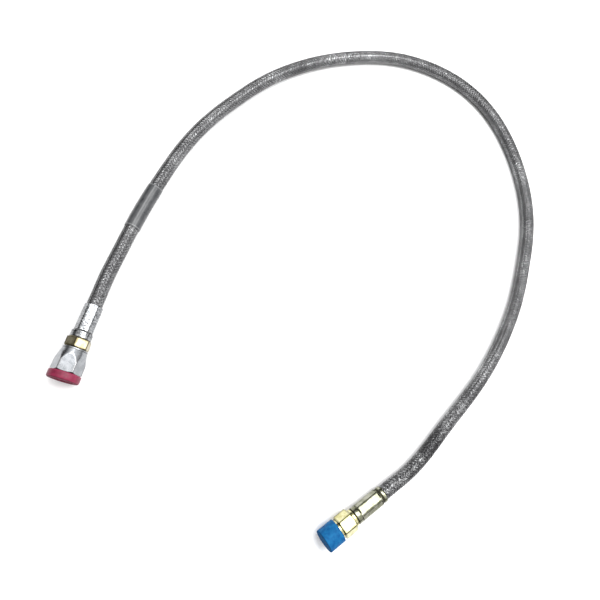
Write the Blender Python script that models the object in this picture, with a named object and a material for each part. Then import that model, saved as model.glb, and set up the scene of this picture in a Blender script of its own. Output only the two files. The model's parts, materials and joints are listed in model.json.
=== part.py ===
"""Compressor discharge hose, lying on the floor in an open arch.

A wire-braided hose with a crimped fitting at each end. The nut end has a swivel nut closed by a red plug,
and the flare end has a male flare thread closed by a blue cap. Metres, +Z up. The origin is on the floor,
below the middle of the box round the two end fittings. +X runs from the nut end to the flare end, and +Y
points to the crown of the arch. Along each fitting, a distance is measured outwards from the mouth of its
ferrule, where the hose goes in.
"""

from math import atan2, cos, hypot, pi, radians, sin, tan

import bmesh
import bpy
import numpy as np
from mathutils import Matrix, Vector

MM = 0.001
CLEARANCE = 0.3 * MM
ROUND_STEPS = 40
INNER_STEPS = 24

# The hose.
HOSE_DIAMETER = 16.1 * MM
HOSE_POINT_SPACING = 2.0 * HOSE_DIAMETER
STRAIGHT_OUT = 35.0 * MM
DOWN_BEND = 24.0 * MM
SLEEVE_START = 96.0 * MM
SLEEVE_LENGTH = 57.0 * MM
SLEEVE_WALL = 0.4 * MM
SLEEVE_RAMP = 35.0 * MM

# Where each fitting lies: the mouth of its ferrule on the floor plan, and the way that it points.
NUT_END_PLACE = (-132.8 * MM, 128.8 * MM)
NUT_END_HEADING = radians(-108.6)
FLARE_END_PLACE = (169.0 * MM, -80.3 * MM)
FLARE_END_HEADING = radians(-149.6)

# The floor plan of the free hose from the nut end to the flare end, in millimetres.
ROUTE = (
    (-110, 190), (-90, 235), (-68, 278), (-43, 321), (-13, 360), (22, 394), (60, 425), (103, 450),
    (149, 468), (198, 479), (247, 482), (295, 473), (339, 452), (374, 419), (397, 377), (410, 329),
    (414, 281), (408, 231), (393, 183), (375, 138), (351, 95), (323, 56), (289, 19), (254, -14),
)

# The crimped ferrules. Both share one section, and differ in the mouth, the length and the uncrimped base.
FERRULE_BORE = 15.6 * MM
FERRULE_CHAMFER = 0.35 * MM
FERRULE_END_WALL = 2.2 * MM
CRIMP_LANDS = 6
CRIMP_ACROSS_LANDS = 17.3 * MM
CRIMP_ACROSS_RIDGES = 18.8 * MM
NUT_CRIMP_LENGTH = 29.6 * MM
NUT_CRIMP_TURN = radians(22.5)
NUT_BASE_DIAMETER = 21.6 * MM
NUT_BASE_LENGTH = 7.1 * MM
LIP_DIAMETER = 18.4 * MM
LIP_LENGTH = 3.8 * MM
LIP_GROOVE_DIAMETER = 16.9 * MM
LIP_GROOVE_LENGTH = 2.2 * MM
FLARE_CRIMP_LENGTH = 28.5 * MM
FLARE_CRIMP_TURN = radians(52.5)
FLARE_BASE_DIAMETER = 19.0 * MM
FLARE_BASE_LENGTH = 5.0 * MM

# The hose's own layers, where a ferrule clamps them on the nipple.
BRAID_WALL = 0.7 * MM
LINER_WALL = 0.8 * MM

# The nipples.
NIPPLE_TIP = 4.0 * MM
BARB_COUNT = 4
BARB_DEPTH = 0.4 * MM
STEM_BORE = 8.4 * MM
LOCK_COLLAR_LENGTH = 1.5 * MM
LOCK_GROOVE_DEPTH = 1.2 * MM

# The nut end's stem: a gold hexagon, and a nose with a hollow 37 degree seat inside the nut.
NUT_STEM_FLATS = 22.2 * MM
NUT_STEM_HEX_LENGTH = 10.4 * MM
NUT_STEM_TURN = radians(30)
NOSE_DIAMETER = 17.4 * MM
SEAT_DEPTH_IN_NUT = 11.2 * MM
SEAT_MOUTH_DIAMETER = 15.6 * MM
FLARE_ANGLE = radians(37)
CHAMFER_ANGLE = radians(30)

# The swivel nut, and the wire that holds it on the nose.
NUT_FLATS = 27.0 * MM
NUT_TURN = radians(-6)
NUT_LENGTH = 25.0 * MM
NUT_NECK_DIAMETER = 24.7 * MM
NUT_NECK_LENGTH = 1.6 * MM
NUT_CONE_LENGTH = 13.5 * MM
NUT_THREAD_BORE = 20.3 * MM
NUT_BACK_WALL = 9.0 * MM
NUT_MOUTH_CHAMFER = 1.6 * MM
WIRE_DIAMETER = 1.6 * MM
WIRE_PLACE = 4.6 * MM

# The red plug.
PLUG_HEAD_DIAMETER = 32.0 * MM
PLUG_HEAD_LENGTH = 8.2 * MM
PLUG_EDGE = 1.6 * MM
PLUG_SHANK_LENGTH = 10.0 * MM
PLUG_WALL = 1.6 * MM
PLUG_DISH_DIAMETER = 23.0 * MM
PLUG_DISH_DEPTH = 1.4 * MM

# The flare end's stem: a ringed collar, a hexagon and a male thread with a 37 degree cone.
COLLAR_DIAMETER = 19.0 * MM
COLLAR_LENGTH = 4.1 * MM
COLLAR_GROOVE_DIAMETER = 17.2 * MM
COLLAR_GROOVE_LENGTH = 1.0 * MM
FLARE_STEM_FLATS = 22.2 * MM
FLARE_STEM_HEX_LENGTH = 15.8 * MM
FLARE_STEM_TURN = radians(8)
HEX_BACK_DIAMETER = 21.2 * MM
THREAD_DIAMETER = 22.0 * MM
THREAD_LENGTH = 12.4 * MM
UNDERCUT_DIAMETER = 19.4 * MM
UNDERCUT_LENGTH = 2.2 * MM
CONE_BASE_DIAMETER = 19.4 * MM
CONE_TIP_DIAMETER = 14.2 * MM
CONE_STEP_LENGTH = 1.2 * MM
FLARE_MOUTH_DIAMETER = 12.2 * MM
FLARE_MOUTH_DEPTH = 6.0 * MM

# The blue cap.
CAP_WALL = 1.3 * MM
CAP_TIP_ROOM = 0.7 * MM
CAP_EDGE = 0.9 * MM

HOSE_RADIUS = HOSE_DIAMETER / 2
NUT_FERRULE_LENGTH = NUT_CRIMP_LENGTH + NUT_BASE_LENGTH
FLARE_FERRULE_LENGTH = LIP_LENGTH + LIP_GROOVE_LENGTH + FLARE_CRIMP_LENGTH + FLARE_BASE_LENGTH
NUT_HEX_START = NUT_FERRULE_LENGTH + CLEARANCE
NUT_HEX_END = NUT_HEX_START + NUT_STEM_HEX_LENGTH
NUT_START = NUT_HEX_END + CLEARANCE
PLUG_HEAD_START = NUT_START + NUT_LENGTH + CLEARANCE
COLLAR_START = FLARE_FERRULE_LENGTH + CLEARANCE
FLARE_HEX_START = COLLAR_START + COLLAR_LENGTH
FLARE_HEX_END = FLARE_HEX_START + FLARE_STEM_HEX_LENGTH
CAP_START = FLARE_HEX_END + UNDERCUT_LENGTH
FLARE_TIP = (
    CAP_START + THREAD_LENGTH + CONE_STEP_LENGTH + (CONE_BASE_DIAMETER - CONE_TIP_DIAMETER) / 2 / tan(FLARE_ANGLE)
)
CAP_RADIUS = THREAD_DIAMETER / 2 + CLEARANCE + CAP_WALL
CAP_END = FLARE_TIP + CAP_TIP_ROOM + CAP_WALL


def corner_radius(across_flats):
    """Distance from a hexagon's centre to its corners."""
    return across_flats / 2 / cos(pi / 6)


def hex_chamfer(across_flats, edge_radius):
    """Length of the 30 degree chamfer that runs from this radius out to the hexagon's corners."""
    return (corner_radius(across_flats) - edge_radius) * tan(CHAMFER_ANGLE)


def lowest_corner(across_flats, turn):
    """How far a hexagon turned by this angle reaches below its axis."""
    corners = [turn + k * pi / 3 for k in range(6)]
    return corner_radius(across_flats) * max(-sin(angle) for angle in corners)


def clear_scene():
    for old in list(bpy.data.objects):
        bpy.data.objects.remove(old, do_unlink=True)


def material(name, colour, roughness, metallic):
    made = bpy.data.materials.new(name)
    made.use_nodes = True
    shader = made.node_tree.nodes["Principled BSDF"]
    shader.inputs["Base Color"].default_value = (*colour, 1.0)
    shader.inputs["Roughness"].default_value = roughness
    shader.inputs["Metallic"].default_value = metallic
    made.diffuse_color = (*colour, 1.0)
    return made


def add_object(name, mesh, finish, parent):
    """Puts a mesh in the scene with one material, smooth apart from its sharp edges."""
    mesh.shade_smooth()
    mesh.set_sharp_from_angle(angle=radians(32))
    if finish:
        mesh.materials.append(finish)
    made = bpy.data.objects.new(name, mesh)
    made.parent = parent
    bpy.context.scene.collection.objects.link(made)
    return made


def turned(name, profile, finish, parent, steps=ROUND_STEPS):
    """A body turned about the fitting's axis from a closed profile of (distance, radius) points."""
    shape = bmesh.new()
    corners = [shape.verts.new((radius, 0, distance)) for distance, radius in profile]
    edges = [shape.edges.new((corners[i - 1], corners[i])) for i in range(len(corners))]
    bmesh.ops.spin(
        shape, geom=corners + edges, cent=(0, 0, 0), axis=(0, 0, 1), angle=2 * pi, steps=steps, use_merge=True
    )
    bmesh.ops.remove_doubles(shape, verts=shape.verts[:], dist=1e-7)
    bmesh.ops.recalc_face_normals(shape, faces=shape.faces[:])
    mesh = bpy.data.meshes.new(name)
    shape.to_mesh(mesh)
    shape.free()
    return add_object(name, mesh, finish, parent)


def mill_hexagon(body, across_flats, turn, start, end):
    """Cuts six flats on the round body, by keeping what lies inside a hexagonal prism."""
    shape = bmesh.new()
    reach = corner_radius(across_flats)
    ring = [shape.verts.new((reach * cos(turn + k * pi / 3), reach * sin(turn + k * pi / 3), start)) for k in range(6)]
    base = shape.faces.new(ring)
    grown = bmesh.ops.extrude_face_region(shape, geom=[base])
    top = [item for item in grown["geom"] if isinstance(item, bmesh.types.BMVert)]
    bmesh.ops.translate(shape, verts=top, vec=(0, 0, end - start))
    bmesh.ops.recalc_face_normals(shape, faces=shape.faces[:])
    mesh = bpy.data.meshes.new(body.name + "_flats")
    shape.to_mesh(mesh)
    shape.free()
    prism = add_object(body.name + "_flats", mesh, None, body.parent)
    prism.hide_render = True
    prism.display_type = "WIRE"
    cut = body.modifiers.new("six flats", "BOOLEAN")
    cut.operation = "INTERSECT"
    cut.object = prism


def rounded(distance, radius, edge, outwards):
    """Three points that round off the outer corner at this distance, where the body ends outwards or inwards."""
    side = 1 if outwards else -1
    angles = (radians(0), radians(45), radians(90))
    points = [(distance - side * edge * (1 - sin(a)), radius - edge * (1 - cos(a))) for a in angles]
    return points if outwards else points[::-1]


def plain_mouth():
    """The outer side of the nut end's ferrule at its mouth, where the crimp starts at once."""
    return [(0, CRIMP_ACROSS_RIDGES / 2 - FERRULE_CHAMFER)]


def rolled_mouth():
    """The outer side of the flare end's ferrule at its mouth: a rolled lip, and a groove behind it."""
    lip = LIP_DIAMETER / 2
    groove = LIP_GROOVE_DIAMETER / 2
    return [
        (0, lip - 2 * FERRULE_CHAMFER),
        (2 * FERRULE_CHAMFER, lip),
        (LIP_LENGTH - 2 * FERRULE_CHAMFER, lip),
        (LIP_LENGTH, groove),
        (LIP_LENGTH + LIP_GROOVE_LENGTH - FERRULE_CHAMFER, groove),
    ]


def ferrule(name, mouth, crimp, turn, base_diameter, length, finish, parent):
    """A shell with pressed lands from crimp[0] to crimp[1], the middle of one at this turn, and a plain base."""
    crimp_start, crimp_end = crimp
    bore = FERRULE_BORE / 2
    base = base_diameter / 2
    ridge = CRIMP_ACROSS_RIDGES / 2
    neck = bore - LOCK_GROOVE_DEPTH
    profile = [
        (0, bore),
        *mouth,
        (crimp_start + FERRULE_CHAMFER, ridge),
        (crimp_end, ridge),
        (crimp_end + FERRULE_CHAMFER, base),
        (length - FERRULE_CHAMFER, base),
        (length, base - FERRULE_CHAMFER),
        (length, neck),
        (length - FERRULE_END_WALL, neck),
        (length - FERRULE_END_WALL, bore),
    ]
    body = turned(name, profile, finish, parent, steps=8 * CRIMP_LANDS)
    land_angle = 2 * pi / CRIMP_LANDS
    for vertex in body.data.vertices:
        x, y, distance = vertex.co
        if crimp_start <= distance < crimp_end + FERRULE_CHAMFER / 2:
            radius = hypot(x, y)
            from_land = (atan2(y, x) - turn + land_angle / 2) % land_angle - land_angle / 2
            pressed = min(CRIMP_ACROSS_LANDS / 2 / cos(from_land), radius)
            vertex.co = (x * pressed / radius, y * pressed / radius, distance)
    return body


def clamped_layers(prefix, ferrule_length, braid_finish, liner_finish, parent):
    """The hose's braid and liner where the ferrule holds them, as two sleeves round the nipple."""
    end = ferrule_length - FERRULE_END_WALL - CLEARANCE - LOCK_COLLAR_LENGTH - CLEARANCE
    braid_outside = FERRULE_BORE / 2 - CLEARANCE
    liner_outside = braid_outside - BRAID_WALL - CLEARANCE
    for name, outside, wall, finish in (
        ("braid", braid_outside, BRAID_WALL, braid_finish),
        ("liner", liner_outside, LINER_WALL, liner_finish),
    ):
        profile = [(0, outside - wall), (0, outside), (end, outside), (end, outside - wall)]
        turned(f"{prefix}_{name}", profile, finish, parent, INNER_STEPS)


def nipple_profile(ferrule_length):
    """The outer side of a nipple, from its tip over the barbs to the groove that locks the ferrule."""
    crest = FERRULE_BORE / 2 - BRAID_WALL - LINER_WALL - 3 * CLEARANCE
    root = crest - BARB_DEPTH
    collar_end = ferrule_length - FERRULE_END_WALL - CLEARANCE
    collar_start = collar_end - LOCK_COLLAR_LENGTH
    pitch = (collar_start - NIPPLE_TIP) / (BARB_COUNT + 1)
    points = [(NIPPLE_TIP, root - BARB_DEPTH / 2)]
    for k in range(BARB_COUNT):
        points.append((NIPPLE_TIP + (k + 1) * pitch, crest))
        points.append((NIPPLE_TIP + (k + 1) * pitch, root))
    groove = FERRULE_BORE / 2 - LOCK_GROOVE_DEPTH - CLEARANCE
    collar = FERRULE_BORE / 2 - CLEARANCE
    return points + [
        (collar_start, root),
        (collar_start, collar),
        (collar_end, collar),
        (collar_end, groove),
        (ferrule_length + CLEARANCE, groove),
    ]


def nut_end_stem(finish, parent):
    """The nut end's turned stem: barbed nipple, hexagon, nose with a wire groove, and a hollow seat."""
    corner = corner_radius(NUT_STEM_FLATS)
    edge = NUT_STEM_FLATS / 2 - CLEARANCE
    chamfer = hex_chamfer(NUT_STEM_FLATS, edge)
    nose = NOSE_DIAMETER / 2
    nose_end = NUT_START + NUT_LENGTH - SEAT_DEPTH_IN_NUT
    wire = NUT_START + WIRE_PLACE
    half_groove = WIRE_DIAMETER / 2 + CLEARANCE
    bore = STEM_BORE / 2
    seat = SEAT_MOUTH_DIAMETER / 2
    profile = nipple_profile(NUT_FERRULE_LENGTH) + [
        (NUT_HEX_START, edge),
        (NUT_HEX_START + chamfer, corner),
        (NUT_HEX_END - chamfer, corner),
        (NUT_HEX_END, edge),
        (NUT_HEX_END, nose),
        (wire - half_groove, nose),
        (wire - half_groove, nose - half_groove),
        (wire + half_groove, nose - half_groove),
        (wire + half_groove, nose),
        (nose_end - CLEARANCE, nose),
        (nose_end, nose - CLEARANCE),
        (nose_end, seat),
        (nose_end - (seat - bore) / tan(FLARE_ANGLE), bore),
        (NIPPLE_TIP, bore),
    ]
    body = turned("nut_end_stem", profile, finish, parent)
    mill_hexagon(body, NUT_STEM_FLATS, NUT_STEM_TURN, 0, nose_end + NUT_LENGTH)


def swivel_nut(finish, parent):
    """The swivel nut: a round neck that widens in a cone to six flats, and a threaded bore."""
    corner = corner_radius(NUT_FLATS)
    neck = NUT_NECK_DIAMETER / 2
    start = NUT_START
    end = start + NUT_LENGTH
    cone_start = start + NUT_NECK_LENGTH
    chamfer = NUT_MOUTH_CHAMFER * tan(CHAMFER_ANGLE)
    clear_nose = NOSE_DIAMETER / 2 + CLEARANCE
    thread = NUT_THREAD_BORE / 2
    wire = start + WIRE_PLACE
    half_groove = WIRE_DIAMETER / 2 + CLEARANCE
    profile = [
        (start, clear_nose),
        (start, neck - 2 * CLEARANCE),
        (start + 2 * CLEARANCE, neck),
        (cone_start, neck),
        (cone_start + NUT_CONE_LENGTH, corner),
        (end - chamfer, corner),
        (end, corner - NUT_MOUTH_CHAMFER),
        (end, thread + 3 * CLEARANCE),
        (end - 3 * CLEARANCE, thread),
        (start + NUT_BACK_WALL, thread),
        (start + NUT_BACK_WALL, clear_nose),
        (wire + half_groove, clear_nose),
        (wire + half_groove, clear_nose + half_groove),
        (wire - half_groove, clear_nose + half_groove),
        (wire - half_groove, clear_nose),
    ]
    body = turned("swivel_nut", profile, finish, parent)
    mill_hexagon(body, NUT_FLATS, NUT_TURN, start - NUT_LENGTH, end + NUT_LENGTH)


def retaining_wire(finish, parent):
    """The round wire in the grooves of the nose and the nut, which takes the nut's pull."""
    middle = (NOSE_DIAMETER + CLEARANCE) / 2
    wire = NUT_START + WIRE_PLACE
    sides = 8
    angles = [2 * pi * k / sides for k in range(sides)]
    profile = [(wire + WIRE_DIAMETER / 2 * sin(a), middle + WIRE_DIAMETER / 2 * cos(a)) for a in angles]
    turned("retaining_wire", profile, finish, parent, INNER_STEPS)


def red_plug(finish, parent):
    """The moulded plug: a dished head with rounded edges, and a hollow shank that fits the nut's bore."""
    head = PLUG_HEAD_DIAMETER / 2
    start = PLUG_HEAD_START
    end = start + PLUG_HEAD_LENGTH
    shank = NUT_THREAD_BORE / 2 - CLEARANCE
    inside = shank - PLUG_WALL
    tip = start - PLUG_SHANK_LENGTH
    floor = start + PLUG_WALL
    dish = PLUG_DISH_DIAMETER / 2
    profile = [
        (floor, 0),
        (floor, inside),
        (tip, inside),
        (tip, shank - CLEARANCE),
        (tip + CLEARANCE, shank),
        (start, shank),
        *rounded(start, head, PLUG_EDGE / 2, False),
        *rounded(end, head, PLUG_EDGE, True),
        (end, dish),
        (end - PLUG_DISH_DEPTH, dish - PLUG_DISH_DEPTH),
        (end - PLUG_DISH_DEPTH, 0),
    ]
    turned("red_plug", profile, finish, parent)


def flare_end_stem(finish, parent):
    """The flare end's turned stem: barbed nipple, grooved collar, hexagon, male thread and 37 degree cone."""
    corner = corner_radius(FLARE_STEM_FLATS)
    back = HEX_BACK_DIAMETER / 2
    front = FLARE_STEM_FLATS / 2 - CLEARANCE
    collar = COLLAR_DIAMETER / 2
    groove = COLLAR_GROOVE_DIAMETER / 2
    thread = THREAD_DIAMETER / 2
    undercut = UNDERCUT_DIAMETER / 2
    lead = thread - undercut
    cone = CONE_BASE_DIAMETER / 2
    tip = CONE_TIP_DIAMETER / 2
    mouth = FLARE_MOUTH_DIAMETER / 2
    bore = STEM_BORE / 2
    thread_end = CAP_START + THREAD_LENGTH
    profile = nipple_profile(FLARE_FERRULE_LENGTH) + [
        (COLLAR_START, groove),
        (COLLAR_START + COLLAR_GROOVE_LENGTH, groove),
        (COLLAR_START + COLLAR_GROOVE_LENGTH, collar),
        (FLARE_HEX_START, collar),
        (FLARE_HEX_START, back),
        (FLARE_HEX_START + hex_chamfer(FLARE_STEM_FLATS, back), corner),
        (FLARE_HEX_END - hex_chamfer(FLARE_STEM_FLATS, front), corner),
        (FLARE_HEX_END, front),
        (FLARE_HEX_END, undercut),
        (CAP_START, undercut),
        (CAP_START + lead, thread),
        (thread_end - lead, thread),
        (thread_end, thread - lead),
        (thread_end + CONE_STEP_LENGTH, cone),
        (FLARE_TIP, tip),
        (FLARE_TIP, mouth),
        (FLARE_TIP - FLARE_MOUTH_DEPTH, mouth),
        (FLARE_TIP - FLARE_MOUTH_DEPTH - (mouth - bore), bore),
        (NIPPLE_TIP, bore),
    ]
    body = turned("flare_end_stem", profile, finish, parent)
    mill_hexagon(body, FLARE_STEM_FLATS, FLARE_STEM_TURN, 0, CAP_END)


def blue_cap(finish, parent):
    """The moulded cap: a plain round cup that pushes over the male thread."""
    inside = CAP_RADIUS - CAP_WALL
    profile = [
        (CAP_START, inside),
        (CAP_START, CAP_RADIUS - CLEARANCE),
        (CAP_START + CLEARANCE, CAP_RADIUS),
        *rounded(CAP_END, CAP_RADIUS, CAP_EDGE, True),
        (CAP_END, 0),
        (CAP_END - CAP_WALL, 0),
        (CAP_END - CAP_WALL, inside),
    ]
    turned("blue_cap", profile, finish, parent)


def smooth_curve(points):
    """A natural cubic spline through the points, read at 40 places between each pair."""
    points = np.array(points, float)
    chord = np.linalg.norm(np.diff(points, axis=0), axis=1)
    along = np.concatenate([[0], np.cumsum(chord)])
    count = len(points)
    matrix = np.eye(count)
    right = np.zeros_like(points)
    slope = np.diff(points, axis=0) / chord[:, None]
    for i in range(1, count - 1):
        matrix[i, i - 1 : i + 2] = chord[i - 1], 2 * (chord[i - 1] + chord[i]), chord[i]
        right[i] = 6 * (slope[i] - slope[i - 1])
    bend = np.linalg.solve(matrix, right)
    read = np.linspace(0, 1, 40, endpoint=False)[:, None]
    pieces = []
    for i in range(count - 1):
        left = 1 - read
        cubic = ((left**3 - left) * bend[i] + (read**3 - read) * bend[i + 1]) * chord[i] ** 2 / 6
        pieces.append(left * points[i] + read * points[i + 1] + cubic)
    return np.concatenate([*pieces, points[-1:]])


class Lie:
    """How a fitting lies: on the hose behind it, and on the edge that tips it up most.

    Each edge is given by how far it reaches below the axis, and by its distance from the ferrule's mouth.
    """

    def __init__(self, place, heading, edges):
        self.place = Vector((*place, 0))
        self.heading = Vector((cos(heading), sin(heading), 0))
        behind = STRAIGHT_OUT + DOWN_BEND / 2
        self.pitch = max((reach - HOSE_RADIUS) / (distance + behind) for reach, distance in edges)
        self.height = max(reach * cos(self.pitch) - distance * sin(self.pitch) for reach, distance in edges)

    def hose_height(self, distance):
        """Height of the hose's axis above the floor, at these distances from the mouth of the ferrule."""
        slope = (self.height - HOSE_RADIUS) / (STRAIGHT_OUT + DOWN_BEND / 2)
        left = np.clip((STRAIGHT_OUT + DOWN_BEND - distance) / DOWN_BEND, 0, 1)
        straight = np.clip(STRAIGHT_OUT - distance, 0, None)
        return HOSE_RADIUS + slope * (DOWN_BEND / 2 * left**2 + straight)

    def frame(self, name):
        """An empty at the ferrule's mouth, with +Z outwards along the fitting and +Y upwards."""
        outwards = (self.heading * cos(self.pitch) + Vector((0, 0, sin(self.pitch)))).normalized()
        across = Vector((0, 0, 1)).cross(outwards).normalized()
        axes = Matrix((across, outwards.cross(across), outwards)).transposed()
        made = bpy.data.objects.new(name, None)
        made.empty_display_size = HOSE_DIAMETER
        made.matrix_world = Matrix.Translation(self.place + Vector((0, 0, self.height))) @ axes.to_4x4()
        bpy.context.scene.collection.objects.link(made)
        return made


def sleeve_lift(distance):
    """How far the marker sleeve, which lies on the floor, holds up the hose at these distances."""
    before = SLEEVE_START - distance
    after = distance - SLEEVE_START - SLEEVE_LENGTH
    away = np.clip(np.maximum(before, after) / SLEEVE_RAMP, 0, 1)
    return (CLEARANCE + SLEEVE_WALL) * (1 + np.cos(pi * away)) / 2


def hose_line(nut_lie, flare_lie):
    """The hose's axis from ferrule to ferrule, as close points, and each one's distance along the floor plan."""

    def straight_out(lie):
        return [(lie.place - lie.heading * d).to_2d()[:] for d in (CLEARANCE, STRAIGHT_OUT / 2, STRAIGHT_OUT)]

    route = [(x * MM, y * MM) for x, y in ROUTE]
    plan = smooth_curve(straight_out(nut_lie) + route + straight_out(flare_lie)[::-1])
    along = np.concatenate([[0], np.cumsum(np.linalg.norm(np.diff(plan, axis=0), axis=1))])
    from_nut = along + CLEARANCE
    from_flare = along[-1] - along + CLEARANCE
    height = np.maximum(nut_lie.hose_height(from_nut), flare_lie.hose_height(from_flare)) + sleeve_lift(from_nut)
    return np.column_stack([plan, height]), along


def hose_points(line, along):
    """The hose's own points: closer together where it comes down to the floor, and even along the rest."""
    down = np.array([0, STRAIGHT_OUT, STRAIGHT_OUT + DOWN_BEND / 2, STRAIGHT_OUT + DOWN_BEND])
    middle_start = down[-1]
    middle_end = along[-1] - down[-1]
    count = round((middle_end - middle_start) / HOSE_POINT_SPACING)
    middle = np.linspace(middle_start, middle_end, count + 1)
    stations = np.concatenate([down[:-1], middle, along[-1] - down[-2::-1]])
    return np.column_stack([np.interp(stations, along, line[:, k]) for k in range(3)]), stations


def hose(points, finish):
    """The free hose as one plain round tube with closed ends."""
    curve = bpy.data.curves.new("hose", "CURVE")
    curve.dimensions = "3D"
    curve.bevel_depth = HOSE_RADIUS
    curve.bevel_resolution = 4
    curve.use_fill_caps = True
    spline = curve.splines.new("POLY")
    spline.points.add(len(points) - 1)
    for spot, point in zip(spline.points, points):
        spot.co = (*point, 1)
    curve.materials.append(finish)
    made = bpy.data.objects.new("hose", curve)
    bpy.context.scene.collection.objects.link(made)


def marker_sleeve(points, stations, finish):
    """The bare shrink sleeve round the hose: a thin tube that bends with it, made by rings along its axis."""
    ends = (SLEEVE_START, SLEEVE_START + SLEEVE_LENGTH)
    between = stations[(stations > ends[0]) & (stations < ends[1])]
    places = np.concatenate([ends[:1], between, ends[1:]])
    centres = [Vector([np.interp(s, stations, points[:, k]) for k in range(3)]) for s in places]
    inside = HOSE_RADIUS + CLEARANCE
    outside = inside + SLEEVE_WALL
    shape = bmesh.new()
    angles = [2 * pi * k / INNER_STEPS for k in range(INNER_STEPS)]
    rings = []
    for i, centre in enumerate(centres):
        before = centres[max(i - 1, 0)]
        after = centres[min(i + 1, len(centres) - 1)]
        ahead = (after - before).normalized()
        side = ahead.cross(Vector((0, 0, 1))).normalized()
        top = side.cross(ahead)
        for radius in (inside, outside):
            rings.append([shape.verts.new(centre + radius * (cos(a) * side + sin(a) * top)) for a in angles])
    path = rings[0::2] + rings[1::2][::-1]
    for one, two in zip(path, path[1:] + path[:1]):
        for k in range(INNER_STEPS):
            shape.faces.new((one[k - 1], one[k], two[k], two[k - 1]))
    bmesh.ops.recalc_face_normals(shape, faces=shape.faces[:])
    mesh = bpy.data.meshes.new("marker_sleeve")
    shape.to_mesh(mesh)
    shape.free()
    add_object("marker_sleeve", mesh, finish, None)


def main():
    clear_scene()
    braid_steel = material("braid_steel", (0.30, 0.31, 0.32), 0.38, 1.0)
    liner_white = material("liner_white", (0.85, 0.85, 0.83), 0.45, 0.0)
    sleeve_grey = material("sleeve_grey", (0.36, 0.37, 0.38), 0.35, 0.0)
    zinc_silver = material("zinc_silver", (0.72, 0.73, 0.74), 0.28, 1.0)
    zinc_gold = material("zinc_gold", (0.72, 0.62, 0.33), 0.30, 1.0)
    spring_steel = material("spring_steel", (0.50, 0.50, 0.50), 0.35, 1.0)
    plug_red = material("plug_red", (0.42, 0.03, 0.09), 0.45, 0.0)
    cap_blue = material("cap_blue", (0.02, 0.19, 0.52), 0.45, 0.0)

    plug_edge = (PLUG_HEAD_DIAMETER / 2, PLUG_HEAD_START + PLUG_EDGE / 2)
    nut_lie = Lie(NUT_END_PLACE, NUT_END_HEADING, [plug_edge])
    hexagon_corner = (
        lowest_corner(FLARE_STEM_FLATS, FLARE_STEM_TURN),
        FLARE_HEX_START + hex_chamfer(FLARE_STEM_FLATS, HEX_BACK_DIAMETER / 2),
    )
    cap_rim = (CAP_RADIUS, CAP_START + CLEARANCE)
    flare_lie = Lie(FLARE_END_PLACE, FLARE_END_HEADING, [hexagon_corner, cap_rim])

    nut_end = nut_lie.frame("nut_end")
    crimp = (0, NUT_CRIMP_LENGTH)
    ferrule(
        "nut_end_ferrule", plain_mouth(), crimp, NUT_CRIMP_TURN,
        NUT_BASE_DIAMETER, NUT_FERRULE_LENGTH, zinc_silver, nut_end,
    )
    clamped_layers("nut_end", NUT_FERRULE_LENGTH, braid_steel, liner_white, nut_end)
    nut_end_stem(zinc_gold, nut_end)
    swivel_nut(zinc_silver, nut_end)
    retaining_wire(spring_steel, nut_end)
    red_plug(plug_red, nut_end)

    flare_end = flare_lie.frame("flare_end")
    crimp = (LIP_LENGTH + LIP_GROOVE_LENGTH, LIP_LENGTH + LIP_GROOVE_LENGTH + FLARE_CRIMP_LENGTH)
    ferrule(
        "flare_end_ferrule", rolled_mouth(), crimp, FLARE_CRIMP_TURN,
        FLARE_BASE_DIAMETER, FLARE_FERRULE_LENGTH, zinc_gold, flare_end,
    )
    clamped_layers("flare_end", FLARE_FERRULE_LENGTH, braid_steel, liner_white, flare_end)
    flare_end_stem(zinc_gold, flare_end)
    blue_cap(cap_blue, flare_end)

    line, along = hose_line(nut_lie, flare_lie)
    points, stations = hose_points(line, along)
    hose(points, braid_steel)
    marker_sleeve(points, stations, sleeve_grey)


main()
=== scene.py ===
import json
from math import cos, pi, radians, tan

import bmesh
import bpy
import numpy as np
from mathutils import Matrix, Vector


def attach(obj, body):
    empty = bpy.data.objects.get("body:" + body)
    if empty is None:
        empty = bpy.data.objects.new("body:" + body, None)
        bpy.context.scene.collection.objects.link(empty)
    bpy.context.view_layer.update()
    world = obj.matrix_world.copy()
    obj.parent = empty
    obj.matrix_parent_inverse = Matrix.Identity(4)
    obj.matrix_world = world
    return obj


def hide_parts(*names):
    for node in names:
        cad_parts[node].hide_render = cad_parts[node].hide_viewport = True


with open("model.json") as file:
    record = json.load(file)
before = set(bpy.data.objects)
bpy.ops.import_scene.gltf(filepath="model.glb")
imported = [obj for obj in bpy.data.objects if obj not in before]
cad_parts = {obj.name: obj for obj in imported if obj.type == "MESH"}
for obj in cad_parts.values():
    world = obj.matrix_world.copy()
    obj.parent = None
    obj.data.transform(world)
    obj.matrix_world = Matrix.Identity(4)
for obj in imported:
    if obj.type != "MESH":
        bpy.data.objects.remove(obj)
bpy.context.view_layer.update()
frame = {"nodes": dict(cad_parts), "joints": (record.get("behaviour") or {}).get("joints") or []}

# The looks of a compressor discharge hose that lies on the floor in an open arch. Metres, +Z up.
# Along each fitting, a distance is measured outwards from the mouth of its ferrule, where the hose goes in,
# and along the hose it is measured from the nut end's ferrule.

MM = 0.001
GAP = 0.3 * MM

# The camera, at the photograph's place. The picture's up has no sideways part.
CAMERA_PLACE = (-0.0386, -0.0012, 0.5548)
CAMERA_AIM = (0.0916, 0.1386, 0.0)
CAMERA_LENS = 30.0
SENSOR_WIDTH = 36.0

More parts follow.
